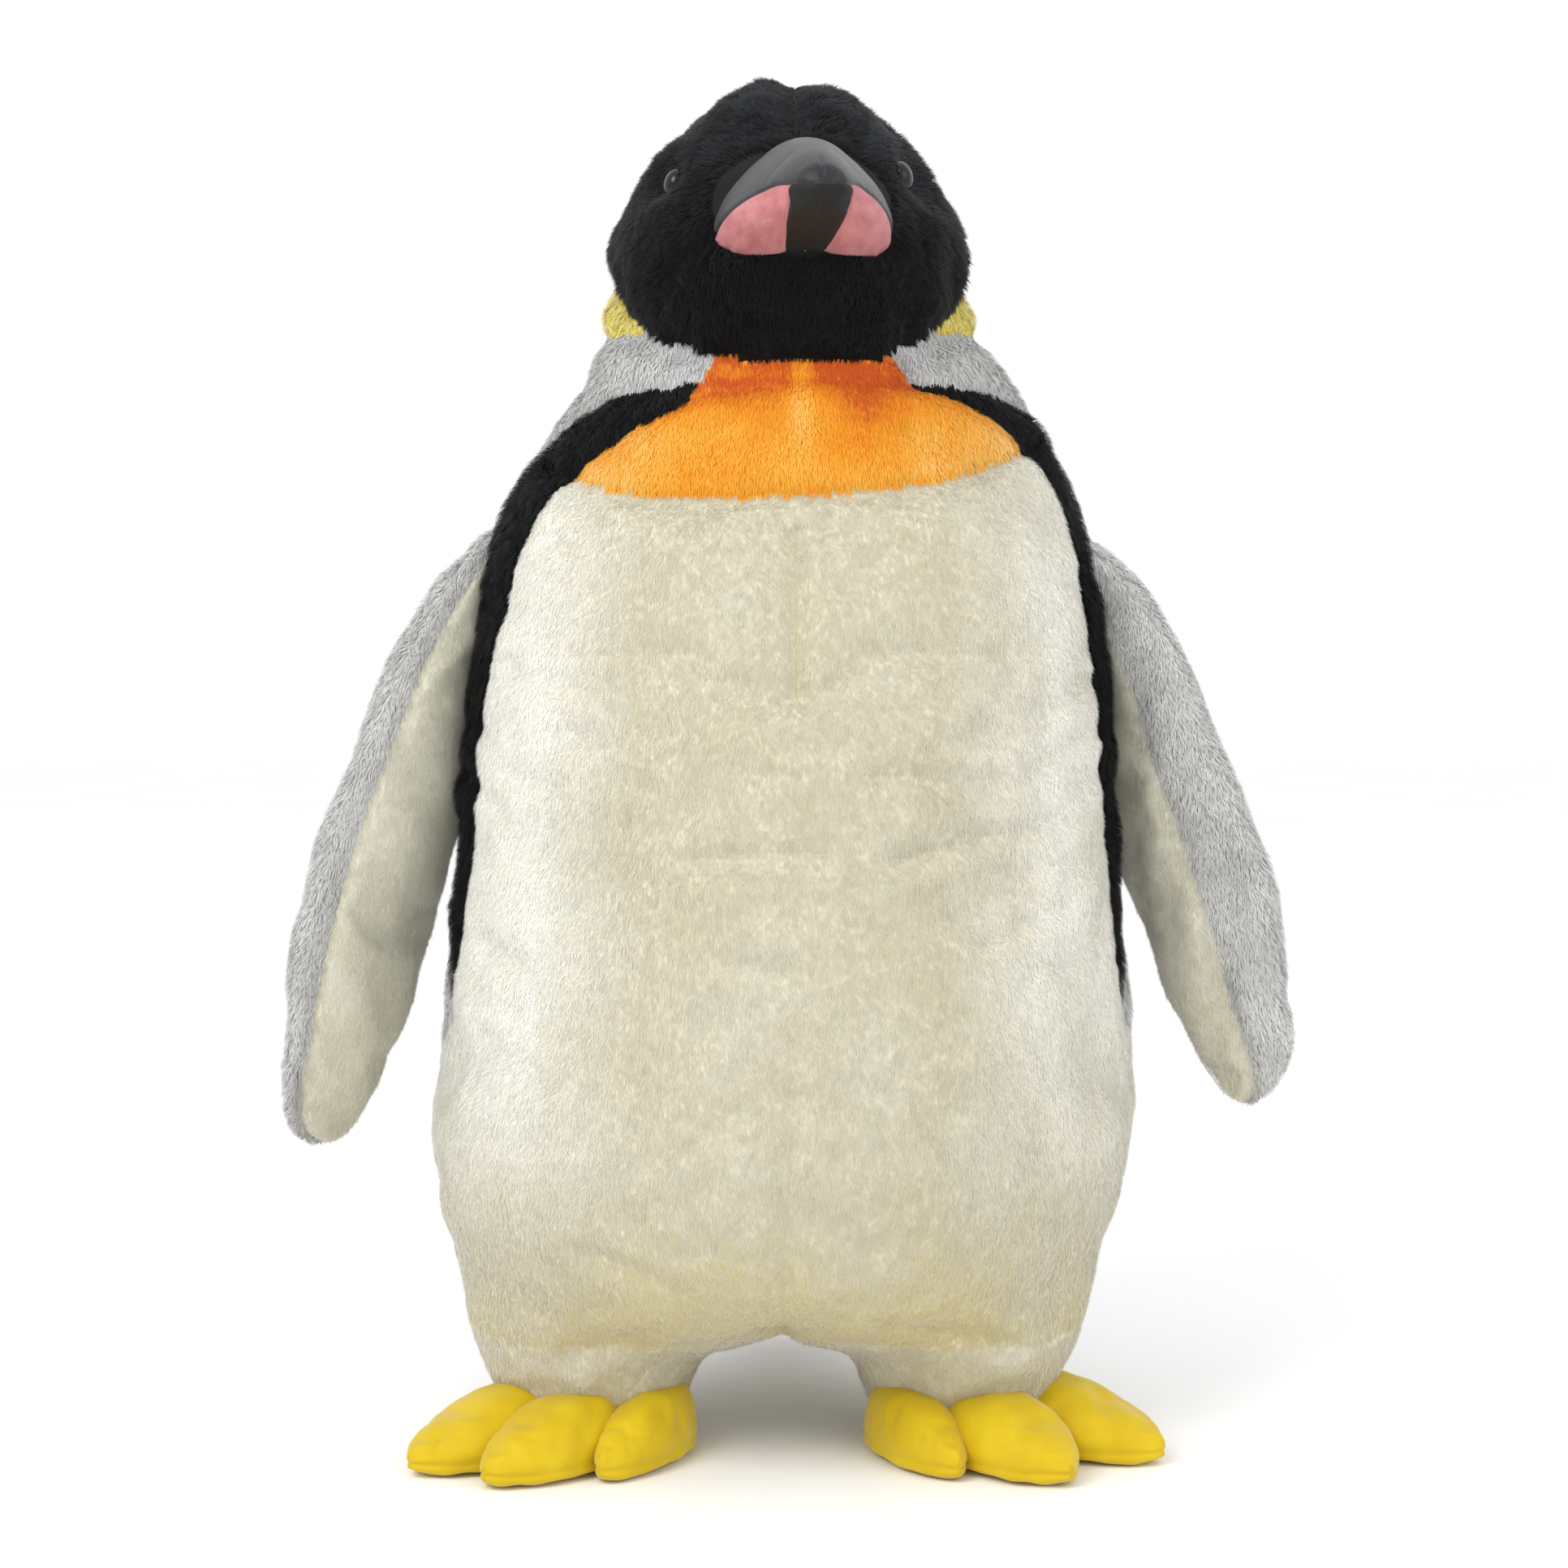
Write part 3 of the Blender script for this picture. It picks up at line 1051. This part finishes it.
def make_toe(word, name, spec):
    """One stuffed toe: a domed cover sewn to a flat sole along a seam just above the floor."""
    x, y, splay, half_width, half_length, height = spec
    side = -1 if word == "left" else 1
    ahead = np.array([side * sin(radians(splay)), -cos(radians(splay)), 0])
    across = np.array([-ahead[1], ahead[0], 0])
    plan = smooth(TOE_PLAN, 40)
    angle = np.arange(TOE_AROUND) * 2 * pi / TOE_AROUND
    points = []
    # The cover is domed above the seam, and the sole below it is flat, just off the floor.
    for along, wide, tall in plan:
        top = np.sin(angle) > 0
        up = np.where(top, np.abs(np.sin(angle)) ** 0.9 * (height * MM - TOE_SEAM) * tall,
                      -np.abs(np.sin(angle)) ** 0.45 * (TOE_SEAM - 0.0004) * min(1, tall * 2.2))
        reach = np.sign(np.cos(angle)) * np.abs(np.cos(angle)) ** 0.9 * half_width * MM * wide
        centre = np.array([x * MM, y * MM, TOE_SEAM]) + ahead * along * half_length * MM
        points.append(centre + reach[:, None] * across + UP * up[:, None])
    faces = closed_faces(len(plan), TOE_AROUND)
    obj = new_object(f"toe_{name}_{word}_shape", np.concatenate(points), faces)
    count = len(obj.data.vertices)
    column = np.arange(count) % TOE_AROUND
    row = np.arange(count) // TOE_AROUND
    under = (column > TOE_AROUND // 2) | (column == 0) | (column == TOE_AROUND // 2)
    held = np.where(under | (row == 0) | (row == len(plan) - 1), 1.0, 0.0)
    inflate(obj, held, 2.0, 0.003, growth=0.015)
    subdivide(obj)
    p, n = read(obj), read(obj, "normal")
    # The seam is drawn in and the cloth is a little uneven.
    p = p - n * (0.0009 * np.exp(-(((p[:, 2] - TOE_SEAM) / 0.0011) ** 2)))[:, None]
    p = p + n * (waves(p, 0.02, 41) * 0.0004)[:, None]
    p[:, 2] = np.maximum(p[:, 2], 0.0003)
    write(obj, p)
    body = f"foot_{word}"
    filling(obj, f"toe_{name}_{word}_filling", body, 0.0015, f"toe_{name}_stuffing_{word}")
    middle = p[quads(obj)].mean(axis=1)
    sole = middle[:, 2] < TOE_SEAM
    part_of(obj, f"toe_{name}_cover_{word}_skin", ~sole, body, f"toe_{name}_cover_{word}", TRICOT)
    part_of(obj, f"toe_{name}_sole_{word}_skin", sole, body, f"toe_{name}_sole_{word}", TRICOT)
    bpy.data.objects.remove(obj)


# ---- eyes ----
def turned(name, profile, place, axis, material, node):
    """A turned piece: pairs of radius and height along its axis, in millimetres."""
    axis = unit(np.array(axis, float))
    across = unit(np.cross(axis, [0, 0, 1]))
    other = np.cross(axis, across)
    profile = np.array(profile, float) * MM
    centres = np.array(place) * MM + profile[:, 1:] * axis
    grid = rings(centres, across, other, profile[:, 0], profile[:, 0], EYE_AROUND)
    obj = new_object(name, grid.reshape(-1, 3), closed_faces(len(profile), EYE_AROUND))
    for polygon in obj.data.polygons:
        polygon.use_smooth = True
    obj.data.materials.append(material)
    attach(obj, "torso")
    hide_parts(node)


def make_eyes():
    """Domed plastic eyes sunk in the pile, each with its stem and the washer that locks it inside."""
    dome = [(EYE_RADIUS * cos(a), EYE_HEIGHT * sin(a)) for a in np.linspace(0, pi / 2 * 0.98, 12)]
    stem = [(1.9, -15), (2, -14), (2, -1.2), (7.2, -1.0), (7.9, -0.4)]
    washer = [(2.2, -13), (8.8, -13), (9, -12.8), (9, -11.2), (8.8, -11), (2.2, -11)]
    for word, place in EYES.items():
        axis = np.array([-0.96 if word == "left" else 0.96, -0.12, 0.24])
        place = np.array(place) - axis * EYE_DEPTH
        turned(f"eye_{word}_dome", stem + dome, place, axis, EYE_PLASTIC, f"eye_{word}")
        turned(f"eye_washer_{word}_disc", washer, place, axis, WASHER_PLASTIC, f"eye_washer_{word}")


# ---- room, light and camera ----
CAMERA_PLACE = (-0.0026, -1.418, 0.411)
CAMERA_PITCH = 2.96  # degrees below level
SENSOR_WIDTH, LENS = 36.0, 62.2919  # millimetres


def area_light(name, place, aim, size, power, colour=(1, 1, 1)):
    lamp = bpy.data.lights.new(name, "AREA")
    lamp.shape = "DISK"
    lamp.size, lamp.energy, lamp.color = size, power, colour
    obj = bpy.data.objects.new(name, lamp)
    obj.location = place
    obj.rotation_euler = (Vector(aim) - Vector(place)).to_track_quat("-Z", "Y").to_euler()
    scene.collection.objects.link(obj)


def make_room():
    floor = new_object("floor", [(-6, -4, 0), (6, -4, 0), (6, 8, 0), (-6, 8, 0)], [(0, 1, 2, 3)])
    mat, tree, shader = blank("floor_paint", 0.7)
    colour = ramp(tree, noise(tree, 3, 2), [(0.3, (0.93, 0.93, 0.93)), (0.7, (0.95, 0.95, 0.95))])
    tree.links.new(colour, shader.inputs["Base Color"])
    floor.data.materials.append(mat)
    world = bpy.data.worlds.new("studio")
    scene.world = world
    world.use_nodes = True
    sky = world.node_tree.nodes["Background"]
    sky.inputs["Color"].default_value = (1, 1, 1, 1)
    sky.inputs["Strength"].default_value = 1.05
    area_light("key", (-1.3, -1.5, 1.9), (0, 0, 0.35), 1.4, 30)
    area_light("fill", (1.5, -1.4, 1.2), (0, 0, 0.3), 1.6, 9)


def make_camera():
    data = bpy.data.cameras.new("camera")
    data.lens, data.sensor_width = LENS, SENSOR_WIDTH
    camera = bpy.data.objects.new("camera", data)
    camera.location = CAMERA_PLACE
    camera.rotation_euler = (radians(90 - CAMERA_PITCH), 0, 0)
    scene.collection.objects.link(camera)
    scene.camera = camera


# ---- build ----
scene.view_settings.view_transform = "Standard"
make_camera()
make_room()
make_body()
make_beak()
make_eyes()
for word in FLIPPERS:
    make_flipper(word)
for word, toes in TOES.items():
    for name, spec in toes.items():
        make_toe(word, name, spec)
make_tail()
